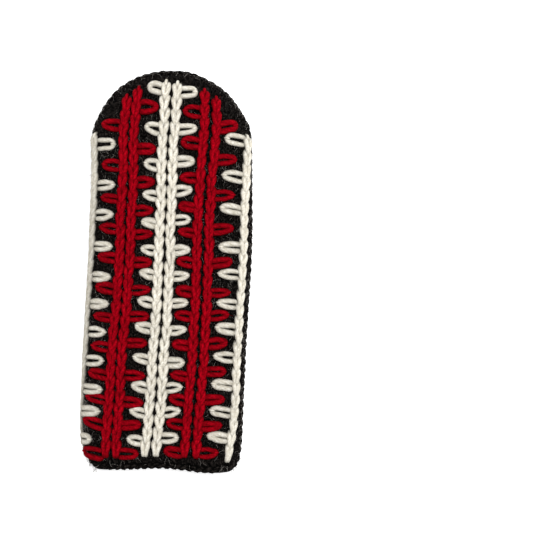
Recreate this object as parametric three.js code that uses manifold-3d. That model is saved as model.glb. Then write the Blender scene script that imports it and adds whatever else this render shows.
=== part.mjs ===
// A hand-knitted wool mitten with chain-stitch embroidery on its back, empty and lying on its palm.
// Units are millimetres. +Z is up, +Y runs from the cuff to the fingertips, +X is the thumb's side.
// The origin is under the middle of the mitten, on the surface that it lies on.
import * as THREE from "three";
import { mergeVertices } from "three/addons/utils/BufferGeometryUtils.js";
import Module from "manifold-3d";

const wasm = await Module();
wasm.setup();

// Driving dimensions of the knitted hand, as it lies empty.
const MITTEN_LENGTH = 258;
const MITTEN_WIDTH = 102;
const MITTEN_HEIGHT = 25;
const HAND_WALL = 3;
const CUFF_EDGE_HEIGHT = 7;
const CUFF_EDGE_BULGE = 0.8;
const CLEARANCE = 0.32; // gap kept between neighbouring pieces
const YARN_LIFT = 0.55; // how far the embroidery yarn's underside is laid above the knitting

// The thumb lies flattened under the palm, on the +X half.
const THUMB_LENGTH = 76;
const THUMB_WIDTH = 35;
const THUMB_HEIGHT = 10.8;
const THUMB_WALL = 2.6;
const THUMB_ROOT_X = 25;
const THUMB_ROOT_SHARE = 0.355; // where the thumb's root is, as a share of the mitten's length
const THUMB_LEAN = -6; // degrees, the tip towards the middle of the palm
const PALM_DRAPE = 24; // width over which the palm comes down from the thumb to the floor

// Embroidery yarn as it lies on the back: a chain row is two strands side by side.
const CHAIN_WIDTH = 6.7;
const CHAIN_HEIGHT = 3.2;
const CHAIN_PITCH = 8;
const PAIR_GAP = 0.7; // between the two chain rows of a pair
const LOOP_WIDTH = 7.4;
const LOOP_HEIGHT = 2.5;
const LOOP_GAP = 0.6; // least gap beside a neighbouring loop

// Sections of the hand from cuff to tip. along is a share of MITTEN_LENGTH, width and height are shares of
// MITTEN_WIDTH and MITTEN_HEIGHT, lift is how far the palm stays off the floor as a share of MITTEN_HEIGHT,
// drift is the spine's sideways place as a share of MITTEN_WIDTH, and slant is how far the section's +X end
// drops towards the cuff, as a share of its distance from the spine.
const HAND_SECTIONS = [
  { along: 0.0, width: 0.863, height: 0.92, lift: 0.0, drift: -0.017, slant: 0.04 },
  { along: 0.012, width: 0.91, height: 0.94, lift: 0.0, drift: -0.019, slant: 0.042 },
  { along: 0.035, width: 0.952, height: 0.955, lift: 0.0, drift: -0.02, slant: 0.044 },
  { along: 0.07, width: 0.98, height: 0.96, lift: 0.0, drift: -0.02, slant: 0.044 },
  { along: 0.12, width: 0.99, height: 0.965, lift: 0.0, drift: -0.017, slant: 0.042 },
  { along: 0.2, width: 0.99, height: 0.975, lift: 0.0, drift: -0.008, slant: 0.038 },
  { along: 0.3, width: 0.99, height: 0.99, lift: 0.0, drift: 0.002, slant: 0.03 },
  { along: 0.42, width: 0.995, height: 1.0, lift: 0.0, drift: 0.019, slant: 0.018 },
  { along: 0.55, width: 1, height: 1.0, lift: 0.0, drift: 0.036, slant: 0.007 },
  { along: 0.68, width: 1, height: 0.985, lift: 0.0, drift: 0.039, slant: 0.0 },
  { along: 0.78, width: 1, height: 0.95, lift: 0.0, drift: 0.037, slant: 0.0 },
  { along: 0.83, width: 0.995, height: 0.92, lift: 0.0, drift: 0.036, slant: 0.0 },
  { along: 0.86, width: 0.972, height: 0.885, lift: 0.0, drift: 0.035, slant: 0.0 },
  { along: 0.89, width: 0.9, height: 0.83, lift: 0.005, drift: 0.032, slant: 0.0 },
  { along: 0.92, width: 0.805, height: 0.755, lift: 0.02, drift: 0.028, slant: 0.0 },
  { along: 0.945, width: 0.7, height: 0.67, lift: 0.05, drift: 0.025, slant: 0.0 },
  { along: 0.965, width: 0.575, height: 0.57, lift: 0.085, drift: 0.022, slant: 0.0 },
  { along: 0.982, width: 0.42, height: 0.46, lift: 0.125, drift: 0.023, slant: 0.0 },
  { along: 0.994, width: 0.26, height: 0.34, lift: 0.17, drift: 0.03, slant: 0.0 },
  { along: 1.0, width: 0.1, height: 0.2, lift: 0.22, drift: 0.035, slant: 0.0 },
];
const SIDE_LEVEL = 0.45; // height of the widest place, as a share of the section's height
const TOP_FULLNESS = 2.4; // exponents of the rounded back and of the flatter palm
const PALM_FULLNESS = 3.4;
const PALM_PRESS = 1.1; // how far the palm would bulge below the floor that flattens it

// Sections of the thumb from root to tip, as shares of THUMB_LENGTH, THUMB_WIDTH and THUMB_HEIGHT.
const THUMB_SECTIONS = [
  { along: 0.0, width: 1.08, height: 0.94 },
  { along: 0.2, width: 1.06, height: 1.0 },
  { along: 0.45, width: 1.0, height: 1.0 },
  { along: 0.68, width: 0.94, height: 0.97 },
  { along: 0.84, width: 0.8, height: 0.9 },
  { along: 0.93, width: 0.58, height: 0.76 },
  { along: 0.98, width: 0.33, height: 0.54 },
  { along: 1.0, width: 0.1, height: 0.25 },
];

// Where the embroidered rows run: the distance across the fabric from the middle of the back, as a share
// of half the mitten's width, at each share of the length. Pairs have a chain row on each side of this line.
const ROW_STATIONS = [0.04, 0.12, 0.19, 0.3, 0.41, 0.52, 0.63, 0.74, 0.84, 0.95];
const ROW_LINES = {
  left_side: [-1.15, -1.12, -1.08, -1.035, -1.022, -1.011, -0.992, -0.96, -0.963, -0.963],
  left_pair: [-0.638, -0.619, -0.604, -0.596, -0.576, -0.568, -0.559, -0.53, -0.52, -0.454],
  center_pair: [-0.14, -0.109, -0.093, -0.08, -0.068, -0.077, -0.069, -0.047, -0.025, 0.027],
  right_pair: [0.356, 0.379, 0.393, 0.412, 0.416, 0.407, 0.408, 0.443, 0.491, 0.512],
  right_side: [0.817, 0.873, 0.89, 0.891, 0.891, 0.897, 0.906, 0.938, 0.959, 0.959],
};

// The eight chain rows. line and half say where a row runs, from and to are its ends as shares of the length,
// facing is the row that its loops point at, fill is how much of the field between them a loop spans, and
// loops are the loops' places as shares of the length.
const CHAIN_ROWS = {
  white_chain_left_side: {
    line: "left_side", half: 0, from: 0.046, to: 0.843, facing: "red_chain_left_outer", fill: 0.88,
    loops: [0.814, 0.711, 0.636, 0.559, 0.482, 0.412, 0.343, 0.269, 0.196, 0.14, 0.066],
  },
  red_chain_left_outer: {
    line: "left_pair", half: -1, from: 0.034, to: 0.939, facing: "white_chain_left_side", fill: 0.9,
    loops: [0.857, 0.758, 0.675, 0.6, 0.527, 0.449, 0.377, 0.303, 0.233, 0.17, 0.106, 0.043],
  },
  red_chain_left_inner: {
    line: "left_pair", half: 1, from: 0.034, to: 0.951, facing: "white_chain_center_left", fill: 0.93,
    loops: [0.905, 0.801, 0.717, 0.647, 0.587, 0.518, 0.448, 0.383, 0.317, 0.237, 0.171, 0.109, 0.047],
  },
  white_chain_center_left: {
    line: "center_pair", half: -1, from: 0.039, to: 0.967, facing: "red_chain_left_inner", fill: 0.8,
    loops: [0.948, 0.847, 0.757, 0.681, 0.613, 0.546, 0.486, 0.416, 0.352, 0.275, 0.205, 0.14, 0.072],
  },
  white_chain_center_right: {
    line: "center_pair", half: 1, from: 0.04, to: 0.964, facing: "red_chain_right_inner", fill: 0.9,
    loops: [0.941, 0.847, 0.768, 0.695, 0.624, 0.549, 0.483, 0.417, 0.349, 0.272, 0.208, 0.146, 0.084],
  },
  red_chain_right_inner: {
    line: "right_pair", half: -1, from: 0.041, to: 0.945, facing: "white_chain_center_right", fill: 0.9,
    loops: [0.889, 0.812, 0.728, 0.654, 0.591, 0.518, 0.445, 0.384, 0.313, 0.237, 0.177, 0.118, 0.053],
  },
  red_chain_right_outer: {
    line: "right_pair", half: 1, from: 0.041, to: 0.926, facing: "white_chain_right_side", fill: 0.82,
    loops: [0.852, 0.773, 0.684, 0.6, 0.516, 0.445, 0.388, 0.319, 0.252, 0.182, 0.115, 0.055],
  },
  white_chain_right_side: {
    line: "right_side", half: 0, from: 0.034, to: 0.831, facing: "red_chain_right_outer", fill: 0.83,
    loops: [0.82, 0.729, 0.647, 0.557, 0.49, 0.417, 0.355, 0.286, 0.218, 0.15, 0.088],
  },
};

// How finely the faceted solids follow the forms.
const HAND_SIDES = 28;
const HOLLOW_SIDES = 20;
const THUMB_SIDES = 16;
const THUMB_STEPS = 8;
const ARC_STEP = Math.PI / 90;

const BLACK_WOOL = new THREE.MeshStandardMaterial({ color: 0x1b191b, roughness: 0.95, metalness: 0 });
const RED_YARN = new THREE.MeshStandardMaterial({ color: 0xae0819, roughness: 0.85, metalness: 0 });
const WHITE_YARN = new THREE.MeshStandardMaterial({ color: 0xefece0, roughness: 0.85, metalness: 0 });

// A smooth value at a place between the rows of a table, through every row.
function valueAt(places, values, place) {
  const last = places.length - 1;
  let i = 0;
  while (i < last - 1 && place > places[i + 1]) i += 1;
  const slope = (k) => {
    const low = Math.max(k - 1, 0);
    const high = Math.min(k + 1, last);
    return (values[high] - values[low]) / (places[high] - places[low]);
  };
  const step = places[i + 1] - places[i];
  const u = (place - places[i]) / step;
  if (u < 0) return values[0] + slope(0) * (place - places[0]);
  if (u > 1) return values[last] + slope(last) * (place - places[last]);
  const bend = u * (1 - u);
  const rise = values[i + 1] - values[i];
  const start = slope(i) * step - rise;
  const end = rise - slope(i + 1) * step;
  return values[i] + rise * u + bend * (start * (1 - u) + end * u);
}

function sectionAt(rows, place) {
  const places = rows.map((row) => row.along);
  const section = {};
  for (const name of Object.keys(rows[0])) {
    section[name] = valueAt(places, rows.map((row) => row[name]), place);
  }
  return section;
}

// Height and sideways place on a flattened round section at an angle, with its floor and roof drawn in.
function flattenedRing(halfWidth, height, angle, inset) {
  const side = SIDE_LEVEL * height;
  const across = Math.cos(angle);
  const upper = angle >= 0 && angle <= Math.PI;
  const power = upper ? TOP_FULLNESS : PALM_FULLNESS;
  const bow = Math.pow(Math.max(0, 1 - Math.pow(Math.abs(across), power)), 1 / power);
  const floor = Math.max(inset, 0);
  const z = upper
    ? side + (height - side - inset) * bow
    : Math.max(side - (side - inset) * PALM_PRESS * bow, floor);
  return { x: (halfWidth - inset) * across, z, share: (height - inset - z) / (height - inset - floor) };
}

const THUMB_ROOT_Y = (THUMB_ROOT_SHARE - 0.5) * MITTEN_LENGTH;
const THUMB_TURN = THREE.MathUtils.degToRad(-THUMB_LEAN);

// A place in the thumb's own frame, across and along it, put under the palm.
function thumbPlace(across, along) {
  return {
    x: THUMB_ROOT_X + across * Math.cos(THUMB_TURN) - along * Math.sin(THUMB_TURN),
    y: THUMB_ROOT_Y + across * Math.sin(THUMB_TURN) + along * Math.cos(THUMB_TURN),
  };
}

// How far the thumb holds the palm up: in full over the thumb, and smoothly down to the floor round it.
function palmLift(x, y) {
  const start = thumbPlace(0, THUMB_WIDTH * 0.34 + PALM_DRAPE);
  const end = thumbPlace(0, THUMB_LENGTH - THUMB_WIDTH * 0.42);
  const run = { x: end.x - start.x, y: end.y - start.y };
  const share = ((x - start.x) * run.x + (y - start.y) * run.y) / (run.x ** 2 + run.y ** 2);
  const near = THREE.MathUtils.clamp(share, 0, 1);
  const distance = Math.hypot(x - start.x - near * run.x, y - start.y - near * run.y);
  const fall = THREE.MathUtils.smoothstep(distance, THUMB_WIDTH * 0.34, THUMB_WIDTH * 0.34 + PALM_DRAPE);
  return (THUMB_HEIGHT + 3 * CLEARANCE) * (1 - fall);
}

// A point of the hand's surface, or of one inset from it, at a share of the length and an angle round it.
function handPoint(along, angle, inset = 0) {
  const section = sectionAt(HAND_SECTIONS, along);
  const half = (section.width * MITTEN_WIDTH) / 2;
  const lift = section.lift * MITTEN_HEIGHT;
  const ring = flattenedRing(half, section.height * MITTEN_HEIGHT - lift, angle, inset);
  const x = section.drift * MITTEN_WIDTH + ring.x;
  const y = (along - 0.5) * MITTEN_LENGTH - section.slant * ring.x;
  return new THREE.Vector3(x, y, ring.z + lift + palmLift(x, y) * ring.share);
}

// A point of the fabric at a distance across it from the middle of the back, positive towards the thumb's side.
function fabricPoint(along, across) {
  const turn = across < 0 ? ARC_STEP : -ARC_STEP;
  let angle = Math.PI / 2;
  let here = handPoint(along, angle);
  let left = Math.abs(across);
  for (let i = 0; i < Math.PI / ARC_STEP; i += 1) {
    const next = handPoint(along, angle + turn);
    const step = next.distanceTo(here);
    if (step >= left) return here.lerp(next, left / step);
    left -= step;
    angle += turn;
    here = next;
  }
  return here;
}

// The fabric's place and the directions across it, along it and out of it.
function fabricFrame(along, across) {
  const reach = 1.5;
  const stride = reach / MITTEN_LENGTH;
  const side = fabricPoint(along, across + reach).sub(fabricPoint(along, across - reach)).normalize();
  const up = fabricPoint(along + stride, across).sub(fabricPoint(along - stride, across)).normalize();
  const out = new THREE.Vector3().crossVectors(side, up).normalize();
  return { point: fabricPoint(along, across), side, up, out };
}

// A closed skin over rings of points, with a flat lid at both ends, or joined end to start.
function skin(rings, joined = false) {
  const sides = rings[0].length;
  const positions = rings.flat().flatMap((p) => [p.x, p.y, p.z]);
  const faces = [];
  const spans = joined ? rings.length : rings.length - 1;
  for (let i = 0; i < spans; i += 1) {
    const low = i * sides;
    const high = ((i + 1) % rings.length) * sides;
    for (let j = 0; j < sides; j += 1) {
      const k = (j + 1) % sides;
      faces.push(low + j, low + k, high + k, low + j, high + k, high + j);
    }
  }
  if (!joined) {
    const last = (rings.length - 1) * sides;
    for (let j = 1; j < sides - 1; j += 1) {
      faces.push(0, j + 1, j, last, last + j, last + j + 1);
    }
  }
  const geometry = new THREE.BufferGeometry();
  geometry.setAttribute("position", new THREE.Float32BufferAttribute(positions, 3));
  geometry.setIndex(faces);
  return geometry;
}

function solidOf(geometry) {
  const merged = mergeVertices(geometry, 1e-4);
  const vertProperties = new Float32Array(merged.attributes.position.array);
  const triVerts = new Uint32Array(merged.index.array);
  return new wasm.Manifold(new wasm.Mesh({ numProp: 3, vertProperties, triVerts }));
}

function geometryOf(solid) {
  const made = solid.getMesh();
  const positions = new Float32Array(made.numVert * 3);
  for (let i = 0; i < made.numVert; i += 1) {
    positions.set(made.vertProperties.subarray(i * made.numProp, i * made.numProp + 3), i * 3);
  }
  const geometry = new THREE.BufferGeometry();
  geometry.setAttribute("position", new THREE.BufferAttribute(positions, 3));
  geometry.setIndex(new THREE.BufferAttribute(new Uint32Array(made.triVerts), 1));
  geometry.computeVertexNormals();
  return geometry;
}

function ringAngles(sides) {
  return Array.from({ length: sides }, (unused, i) => ((2 * i + 1) / sides - 1) * Math.PI).reverse();
}

const CUFF_SHARE = CUFF_EDGE_HEIGHT / MITTEN_LENGTH;

// Where the palm's drape over the thumb needs sections of its own, as shares of the thumb's length.
const DRAPE_STATIONS = [0, 0.3, 0.6, 0.95, 1.25];

// A filled form of the hand between two shares of its length, inset from its surface or, below 0, grown.
function handForm(start, end, sides, inset) {
  const drape = DRAPE_STATIONS.map((share) => THUMB_ROOT_SHARE + (share * THUMB_LENGTH) / MITTEN_LENGTH);
  const rows = [...HAND_SECTIONS.map((row) => row.along), ...drape];
  const between = rows.filter((along) => along > start + 0.008 && along < end - 0.004);
  const places = [start, ...between.sort((a, b) => a - b), end];
  return solidOf(skin(places.map((along) => ringAngles(sides).map((angle) => handPoint(along, angle, inset)))));
}

// The thumb's form, grown by a gap or drawn in by a wall.
function thumbForm(inset, steps) {
  const rings = [];
  const end = inset > 0 ? 1 - inset / THUMB_LENGTH : 1 + -inset / THUMB_LENGTH;
  const start = inset / THUMB_LENGTH - (inset > 0 ? 2 * inset : 0) / THUMB_LENGTH;
  for (let i = 0; i <= steps; i += 1) {
    const along = start + (end - start) * Math.sin((i / steps) * (Math.PI / 2));
    const section = sectionAt(THUMB_SECTIONS, Math.min(along, 1));
    const half = (section.width * THUMB_WIDTH) / 2;
    rings.push(
      ringAngles(THUMB_SIDES).map((angle) => {
        const ring = flattenedRing(half, section.height * THUMB_HEIGHT, angle, inset);
        const place = thumbPlace(ring.x, along * THUMB_LENGTH);
        const sunk = inset < 0 && angle < 0 ? ring.z - MITTEN_HEIGHT * (1 - Math.abs(Math.cos(angle))) : ring.z;
        return new THREE.Vector3(place.x, place.y, sunk);
      })
    );
  }
  return solidOf(skin(rings));
}

// The cuff's worked edge: a slightly raised ring below the hand, with the same opening.
function cuffEdge() {
  const profile = [
    { inset: HAND_WALL, along: CUFF_SHARE },
    { inset: 0, along: CUFF_SHARE },
    { inset: -CUFF_EDGE_BULGE, along: CUFF_SHARE * 0.62 },
    { inset: -CUFF_EDGE_BULGE * 0.6, along: CUFF_SHARE * 0.2 },
    { inset: HAND_WALL * 0.4, along: 0 },
    { inset: HAND_WALL, along: CUFF_SHARE * 0.15 },
  ];
  const rings = profile.map(({ inset, along }) =>
    ringAngles(HAND_SIDES).map((angle) => handPoint(along, angle, inset))
  );
  return solidOf(skin(rings.reverse(), true));
}

// Distance across the fabric from the middle of the back to a chain row, at a share of the length.
function rowAcross(row, along) {
  const line = valueAt(ROW_STATIONS, ROW_LINES[row.line], along) * (MITTEN_WIDTH / 2);
  return line + row.half * ((CHAIN_WIDTH + PAIR_GAP) / 2);
}

// A bar that lies on the fabric: stations hold its place, half width and thickness, and towards is its run.
function barOnFabric(stations, corners) {
  const rings = stations.map(({ along, across, half, thick, run }) => {
    const place = (offset, height) => {
      const frame =
        run === "along"
          ? fabricFrame(along, across + offset)
          : fabricFrame(along + offset / MITTEN_LENGTH, across);
      return frame.point.addScaledVector(frame.out, YARN_LIFT + height);
    };
    return corners.map(({ side, rise }) => place(side * half, rise * thick));
  });
  return skin(rings);
}

// A bar's section, and the one whose underside follows a sharply rounded side.
const BAR_CORNERS = [
  { side: -0.58, rise: 1 },
  { side: 0.58, rise: 1 },
  { side: 1, rise: 0 },
  { side: -1, rise: 0 },
];
const SIDE_CORNERS = [...BAR_CORNERS.slice(0, 3), { side: 0, rise: 0 }, BAR_CORNERS[3]];

// One chain row: leaf-shaped links that narrow where the next link holds them down.
function chainBar(row) {
  const length = (row.to - row.from) * MITTEN_LENGTH;
  const links = Math.round(length / CHAIN_PITCH);
  const stations = [];
  for (let i = 0; i <= 2 * links; i += 1) {
    const along = row.from + ((row.to - row.from) * i) / (2 * links);
    const wide = i % 2 === 1;
    const half = (CHAIN_WIDTH / 2) * (wide ? 1 : 0.74);
    stations.push({
      along,
      across: rowAcross(row, along),
      half: i === 0 || i === 2 * links ? half * 0.6 : half,
      thick: CHAIN_HEIGHT * (wide ? 1 : 0.78),
      run: "along",
    });
  }
  return solidOf(barOnFabric(stations, row.half === 0 ? SIDE_CORNERS : BAR_CORNERS));
}

// A loop from under its row to its tip: along is a share of its reach, wide and thick of its width and height.
const LOOP_SHAPE = [
  { along: 0.06, wide: 0.66, thick: 0.9 },
  { along: 0.64, wide: 1, thick: 1 },
  { along: 1, wide: 0.5, thick: 0.75 },
];

// A loop's width, limited by the nearest loop of its own row and of the row that it points at.
function loopWidth(row, along) {
  const others = [...row.loops, ...CHAIN_ROWS[row.facing].loops].filter((other) => other !== along);
  const nearest = Math.min(...others.map((other) => Math.abs(other - along))) * MITTEN_LENGTH;
  return Math.min(LOOP_WIDTH, nearest - LOOP_GAP);
}

// One detached loop, from under its chain row out to its tip.
function loopBar(row, along) {
  const base = rowAcross(row, along);
  const facing = rowAcross(CHAIN_ROWS[row.facing], along);
  const field = Math.abs(facing - base) - CHAIN_WIDTH / 2 - CLEARANCE;
  const reach = Math.sign(facing - base) * row.fill * field;
  const half = loopWidth(row, along) / 2;
  const onSide = row.half === 0;
  const places = onSide ? [0.06, 0.3, 0.55, 0.8, 1] : LOOP_SHAPE.map((shape) => shape.along);
  const stations = places.map((place) => {
    const shape = sectionAt(LOOP_SHAPE, place);
    return {
      along,
      across: base + place * reach,
      half: half * shape.wide * (reach > 0 ? -1 : 1),
      thick: LOOP_HEIGHT * shape.thick,
      run: "across",
    };
  });
  return solidOf(barOnFabric(stations, BAR_CORNERS));
}

// A chain row with its loops, kept off the hand where the fabric bends more sharply than the yarn's facets.
function chainRow(row, keptOff) {
  return row.loops.reduce((solid, along) => solid.add(loopBar(row, along)), chainBar(row)).subtract(keptOff);
}

const mitten = new THREE.Group();

function addPiece(name, solid, material) {
  const mesh = new THREE.Mesh(geometryOf(solid), material);
  mesh.name = name;
  mitten.add(mesh);
}

const bodyStart = CUFF_SHARE + CLEARANCE / MITTEN_LENGTH;
const hollowEnd = 1 - (1.7 * HAND_WALL) / MITTEN_LENGTH;
const body = handForm(bodyStart, 1, HAND_SIDES, 0);
const hollow = handForm(-HAND_WALL / MITTEN_LENGTH, hollowEnd, HOLLOW_SIDES, HAND_WALL);
const thumbHole = thumbForm(-CLEARANCE, THUMB_STEPS);
addPiece("hand", body.subtract(hollow).subtract(thumbHole), BLACK_WOOL);
addPiece(
  "thumb",
  thumbForm(0, THUMB_STEPS).subtract(thumbForm(THUMB_WALL, THUMB_STEPS)).subtract(hollow),
  BLACK_WOOL
);
addPiece("cuff_edge", cuffEdge(), BLACK_WOOL);
const keptOff = handForm(CUFF_SHARE, 1, HAND_SIDES, -CLEARANCE);
for (const [name, row] of Object.entries(CHAIN_ROWS)) {
  addPiece(name, chainRow(row, keptOff), name.startsWith("red") ? RED_YARN : WHITE_YARN);
}

const bounds = new THREE.Box3().setFromObject(mitten);
const middle = bounds.getCenter(new THREE.Vector3());
mitten.position.set(-middle.x, -middle.y, -bounds.min.z);

export default mitten;
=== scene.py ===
# %% [markdown]
# # A knitted mitten with chain-stitch embroidery
# The mitten is black wool, knitted as one tube with a rounded tip, and it lies empty on its palm. Its back
# carries eight lengthwise rows of chain stitch in thick red and white yarn, and every row throws short
# detached loops towards its neighbour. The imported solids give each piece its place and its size. This
# lesson dresses them: first the finishes, then the cloth under the stitches, the stitches, the worked
# edges, the embroidery and the fuzz, and last the floor, the light and the camera.

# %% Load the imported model
import math
import bpy
import numpy as np
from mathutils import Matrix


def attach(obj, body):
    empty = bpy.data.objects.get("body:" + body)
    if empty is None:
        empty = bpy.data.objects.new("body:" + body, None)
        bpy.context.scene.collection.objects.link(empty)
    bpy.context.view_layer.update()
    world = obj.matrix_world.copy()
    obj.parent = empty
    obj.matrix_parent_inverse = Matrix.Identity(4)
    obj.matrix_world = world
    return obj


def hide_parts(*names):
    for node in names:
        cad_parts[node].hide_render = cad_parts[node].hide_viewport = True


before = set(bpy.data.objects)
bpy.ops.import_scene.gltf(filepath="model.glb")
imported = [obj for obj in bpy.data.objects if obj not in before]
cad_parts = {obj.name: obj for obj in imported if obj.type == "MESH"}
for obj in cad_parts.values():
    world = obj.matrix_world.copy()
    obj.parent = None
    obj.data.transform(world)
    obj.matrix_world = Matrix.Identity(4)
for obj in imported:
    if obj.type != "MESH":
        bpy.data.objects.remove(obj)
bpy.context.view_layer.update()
print("solids:", sorted(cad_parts))

# %% [markdown]
# ## Wool
# Wool yarn is spun from thousands of crimped hairs, so it has no gloss of its own: it is rough and its
# colour wanders along the strand. A Principled shader with high roughness and almost no specular light
# gives that. Shade is painted into the colour where strands crowd together: an attribute says how far each
# point stands out of the cloth and how far it faces out of it, and what lies deep or faces the cloth is
# darkened by painted shade. The hairs could be painted as an image, but a stretched noise needs none; it
# runs from a painted shade between the hairs to a painted glow on them. Real hairs are about 0.03 mm
# thick, too fine to show, so they are drawn as marks of half a millimetre. They run along the strand, so
# the noise is drawn in the strand's own UV map, which holds millimetres along the strand and one turn
# around it.

# %% Colours and a way to add shader nodes
MM = 0.001


def linear(code):
    """Turns an sRGB hex colour into the linear colour that a shader takes."""
    parts = [int(code[i:i + 2], 16) / 255 for i in (1, 3, 5)]
    return [p / 12.92 if p <= 0.04045 else ((p + 0.055) / 1.055) ** 2.4 for p in parts] + [1.0]


def add_node(tree, kind, settings=None, inputs=None, links=None):
    """Adds a shader node with its settings and inputs, and links others' outputs into it."""
    made = tree.nodes.new(kind)
    for name, value in (settings or {}).items():
        setattr(made, name, value)
    for name, value in (inputs or {}).items():
        made.inputs[name].default_value = value
    for name, source in (links or {}).items():
        tree.links.new(source, made.inputs[name])
    return made


print("crimson in linear light:", [round(v, 4) for v in linear("#88000e")])

# %% A wool finish with hairs along the strand
HAIR_STRETCH = 7  # how many times longer than thick a hair's mark is
HAIRS_ROUND = 9  # marks side by side round a strand
HAIR_SHARE = 0.6  # how much of the pattern is hairs, the rest being felt
FELT_MM = 1.1
PATCH_MM = 14


def spun_wool(name, shade, body, glow, hair_mm, relief, crevice, sheen=0.0):
    """Wool yarn, from a painted shade between its hairs to a painted glow on them; crevice is how dark
    painted shade makes a deep place.
    """
    material = bpy.data.materials.new(name)
    material.use_nodes = True
    tree = material.node_tree
    tree.nodes.clear()
    place = add_node(tree, "ShaderNodeUVMap", {"uv_map": "strand"})
    stretch = add_node(tree, "ShaderNodeMapping", links={"Vector": place.outputs["UV"]},
                       inputs={"Scale": (1 / (hair_mm * HAIR_STRETCH), HAIRS_ROUND, 1)})
    hairs = add_node(tree, "ShaderNodeTexNoise", inputs={"Scale": 1, "Detail": 4, "Roughness": 0.65},
                     links={"Vector": stretch.outputs["Vector"]})
    body_place = add_node(tree, "ShaderNodeTexCoord")
    felt = add_node(tree, "ShaderNodeTexNoise", inputs={"Scale": 1 / (FELT_MM * MM), "Detail": 3},
                    links={"Vector": body_place.outputs["Object"]})
    patches = add_node(tree, "ShaderNodeTexNoise", inputs={"Scale": 1 / (PATCH_MM * MM), "Detail": 2},
                       links={"Vector": body_place.outputs["Object"]})
    mixed = add_node(tree, "ShaderNodeMath", {"operation": "MULTIPLY_ADD"}, {1: HAIR_SHARE},
                     {0: hairs.outputs["Fac"]})
    felt_part = add_node(tree, "ShaderNodeMath", {"operation": "MULTIPLY"}, {1: 1 - HAIR_SHARE},
                         {0: felt.outputs["Fac"]})
    tree.links.new(felt_part.outputs[0], mixed.inputs[2])
    # painted light: the hair pattern runs from a painted shade between the hairs through the wool's own
    # colour to a painted glow on them
    colours = add_node(tree, "ShaderNodeValToRGB", links={"Fac": mixed.outputs[0]})
    colours.color_ramp.elements[0].position = 0.3
    colours.color_ramp.elements[0].color = linear(shade)
    colours.color_ramp.elements[1].position = 0.62
    colours.color_ramp.elements[1].color = linear(glow)
    middle = colours.color_ramp.elements.new(0.47)
    middle.color = linear(body)
    worn = add_node(tree, "ShaderNodeMixRGB", {"blend_type": "MULTIPLY"}, {"Fac": 0.35},
                    {"Color1": colours.outputs["Color"]})
    # painted shade: the rise attribute holds painted light, low where the yarn lies deep in the cloth or
    # faces it
    rise = add_node(tree, "ShaderNodeAttribute", {"attribute_name": "rise"})
    painted_shade_factor = add_node(tree, "ShaderNodeMapRange", inputs={"From Min": 0.1, "From Max": 1.0,
                     "To Min": 1 - crevice, "To Max": 1.0}, links={"Value": rise.outputs["Fac"]})
    # the colour times its painted shade, which darkens deep places and the undersides of strands
    sunk = add_node(tree, "ShaderNodeMixRGB", {"blend_type": "MULTIPLY"}, {"Fac": 1.0},
                    {"Color1": worn.outputs["Color"], "Color2": painted_shade_factor.outputs["Result"]})
    tone = add_node(tree, "ShaderNodeMapRange", inputs={"From Min": 0.3, "From Max": 0.7, "To Min": 0.72,
                    "To Max": 1.12}, links={"Value": patches.outputs["Fac"]})
    tree.links.new(tone.outputs["Result"], worn.inputs["Color2"])
    bump = add_node(tree, "ShaderNodeBump", inputs={"Strength": 0.55, "Distance": relief * MM},
                    links={"Height": mixed.outputs[0]})
    wool = add_node(tree, "ShaderNodeBsdfPrincipled",
                    inputs={"Roughness": 0.9, "Specular IOR Level": 0.03, "Sheen Weight": sheen,
                            "Sheen Roughness": 0.45, "Sheen Tint": linear(glow)},
                    links={"Base Color": sunk.outputs["Color"], "Normal": bump.outputs["Normal"]})
    add_node(tree, "ShaderNodeOutputMaterial", links={"Surface": wool.outputs["BSDF"]})
    return material


# each wool: a painted shade between its hairs, its own colour, and a painted glow on its hairs
black_wool = spun_wool("black_knitting_wool", "#000000", "#040303", "#35302d",
                       hair_mm=0.5, relief=0.4, crevice=1.0, sheen=0.01)
red_wool = spun_wool("crimson_embroidery_wool", "#5a0007", "#88000e", "#b80419",
                     hair_mm=0.6, relief=0.3, crevice=1.0)
white_wool = spun_wool("cream_embroidery_wool", "#bfb8a3", "#dfd8c8", "#fffbf0",
                       hair_mm=0.6, relief=0.3, crevice=0.95)
print("wools:", black_wool.name, red_wool.name, white_wool.name)

# %% [markdown]
# ## The form of the hand
# The knitted tube is a round section that has sunk flat: its back stays bowed, its palm lies on the
# floor, and over the hidden thumb the palm is held up. The same tables and the same curve as in the solid
# are repeated here, because stitches are laid on the cloth by how far along and across it they are. A
# Shrinkwrap modifier could press stitches on the solid, but it can't count rows and columns.

# %% Sizes of the hand, in millimetres
LENGTH = 258
WIDTH = 102
HEIGHT = 25
CLEARANCE = 0.32
YARN_LIFT = 0.55
THUMB_LENGTH = 76
THUMB_WIDTH = 35
THUMB_HEIGHT = 10.8
THUMB_ROOT = np.array([25, (0.355 - 0.5) * LENGTH])
THUMB_TURN = math.radians(6)
THUMB_RIDGE = THUMB_WIDTH * 0.34
THUMB_RIDGE_END = THUMB_LENGTH - THUMB_WIDTH * 0.42
PALM_DRAPE = 24
SIDE_LEVEL = 0.45  # height of the widest place, as a share of the section's height
TOP_FULLNESS = 2.4  # exponents of the rounded back and of the flatter palm
PALM_FULLNESS = 3.4
PALM_PRESS = 1.1  # how far the palm would bulge below the table that flattens it
CENTRING = np.array([0.1953, 0.8509, 0.0])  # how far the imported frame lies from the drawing's middle

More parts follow.
